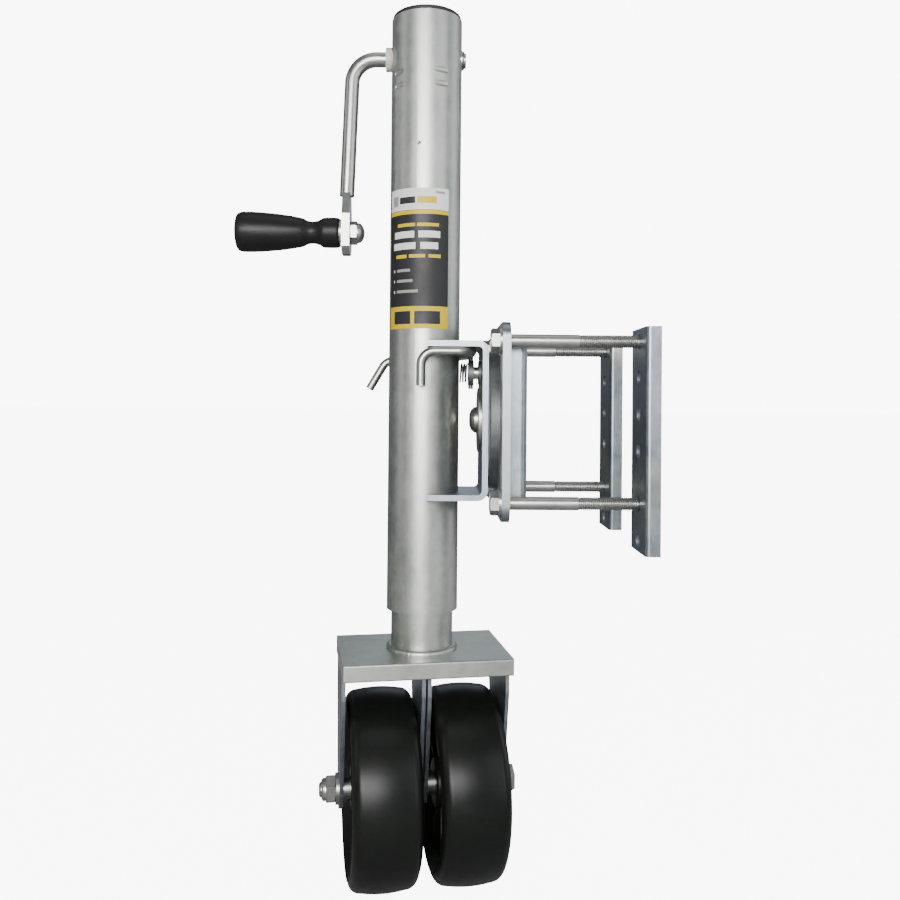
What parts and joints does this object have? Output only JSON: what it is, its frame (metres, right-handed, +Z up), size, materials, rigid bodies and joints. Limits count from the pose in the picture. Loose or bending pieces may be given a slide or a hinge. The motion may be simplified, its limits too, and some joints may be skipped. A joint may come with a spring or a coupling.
{
  "type": "trailer tongue jack",
  "caption": "Bolt-on side-wind tongue jack that swings back on a clamp bracket, with a crank, a telescoping leg and twin wheels.",
  "frame": {"origin": "middle of the clamp face that bears on the side of the tongue, on the swing axis", "axes": "+X points out of the clamp face into the tongue, along the swing axis; +Z up along the jack's tube; the tongue runs along Y"},
  "size_m": [0.3244, 0.185, 0.6983],
  "materials": {
    "zinc_tube": "satin zinc plate",
    "zinc_plate": "blue-white zinc plate",
    "bright_zinc": "bright zinc plate",
    "dark_steel": "dark phosphate",
    "weld_bead": "plated weld",
    "bronze_nut": "oiled bronze",
    "black_plastic": "smooth moulded",
    "black_grip": "satin moulded",
    "black_wheel": "glossy moulded",
    "pale_nylon": "natural nylon",
    "label_film": "printed film, plain bands"
  },
  "bodies": {
    "clamp": {"standoff_channel": "zinc_plate", "mount_plate": "zinc_plate", "index_disc": "dark_steel", "pivot_pin": "bright_zinc", "pivot_washer": "bright_zinc", "clamp_bolts": "bright_zinc", "clamp_bolt_washers": "bright_zinc"},
    "backing": {"backing_channel_front": "zinc_plate", "backing_channel_rear": "zinc_plate", "clamp_nuts": "bright_zinc"},
    "jack_tube": {"outer_tube": "zinc_tube", "top_cap": "black_plastic", "tube_bracket": "zinc_plate", "lock_guide": "dark_steel", "label_plate": "label_film", "crank_bush_left": "pale_nylon", "crank_bush_right": "bright_zinc", "gear_seat": "dark_steel", "thrust_race_upper": "bright_zinc", "thrust_balls": "bright_zinc", "lock_spring": "dark_steel"},
    "lock": {"lock_pin": "bright_zinc", "lock_collar": "dark_steel", "lock_cross_pin": "dark_steel", "release_handle": "bright_zinc"},
    "screw": {"lift_screw": "dark_steel", "driven_gear": "dark_steel", "gear_spacer": "dark_steel", "thrust_race_lower": "bright_zinc"},
    "crank": {"crank_handle": "bright_zinc", "crank_pinion": "dark_steel", "shaft_ring": "dark_steel", "grip_bolt": "bright_zinc", "grip_washer": "bright_zinc", "acorn_nut": "bright_zinc"},
    "grip": {"grip": "black_grip"},
    "nut_carrier": {"lift_nut": "bronze_nut"},
    "leg": {"inner_tube": "zinc_tube", "nut_ring_upper": "dark_steel", "nut_ring_lower": "dark_steel", "leg_weld": "weld_bead", "carriage_plate": "zinc_tube", "yoke_left": "zinc_plate", "yoke_right": "zinc_plate", "axle_bolt": "bright_zinc", "axle_nut": "bright_zinc", "axle_washers": "bright_zinc", "wheel_spacers": "bright_zinc"},
    "left_wheel": {"wheel_left": "black_wheel", "wheel_sleeve_left": "bright_zinc"},
    "right_wheel": {"wheel_right": "black_wheel", "wheel_sleeve_right": "bright_zinc"}
  },
  "joints": [
    {"name": "clamp_adjust", "type": "slide", "parent": "clamp", "child": "backing", "axis": [1, 0, 0], "range_m": [-0.03, 0]},
    {"name": "swing_back", "type": "hinge", "parent": "clamp", "child": "jack_tube", "pos_m": [0, 0, 0], "axis": [1, 0, 0], "range_deg": [-90, 90]},
    {"name": "lock_pin_slide", "type": "slide", "parent": "jack_tube", "child": "lock", "axis": [1, 0, 0], "range_m": [0, 0.0034]},
    {"name": "crank_turn", "type": "hinge", "parent": "jack_tube", "child": "crank", "pos_m": [-0.07897, 0, 0.293], "axis": [-1, 0, 0], "range_deg": [0, 31530]},
    {"name": "screw_turn", "type": "hinge", "parent": "jack_tube", "child": "screw", "pos_m": [-0.07897, 0, 0.293], "axis": [0, 0, 1], "range_deg": [0, 21030]},
    {"name": "lift", "type": "slide", "parent": "jack_tube", "child": "nut_carrier", "axis": [0, 0, -1], "range_m": [0, 0.2925]},
    {"name": "leg_swivel", "type": "hinge", "parent": "nut_carrier", "child": "leg", "pos_m": [-0.07897, 0, -0.294], "axis": [0, 0, 1], "continuous": true},
    {"name": "grip_spin", "type": "hinge", "parent": "crank", "child": "grip", "pos_m": [-0.17897, 0, 0.151], "axis": [1, 0, 0], "continuous": true},
    {"name": "left_wheel_spin", "type": "hinge", "parent": "leg", "child": "left_wheel", "pos_m": [-0.07897, 0, -0.294], "axis": [0.9871, 0.1599, 0], "continuous": true},
    {"name": "right_wheel_spin", "type": "hinge", "parent": "leg", "child": "right_wheel", "pos_m": [-0.07897, 0, -0.294], "axis": [0.9871, 0.1599, 0], "continuous": true}
  ],
  "couplings": [
    {"joint": "screw_turn", "follows": "crank_turn", "ratio": 0.66667},
    {"joint": "lift", "follows": "crank_turn", "m_per_rad": 0.00053052}
  ]
}
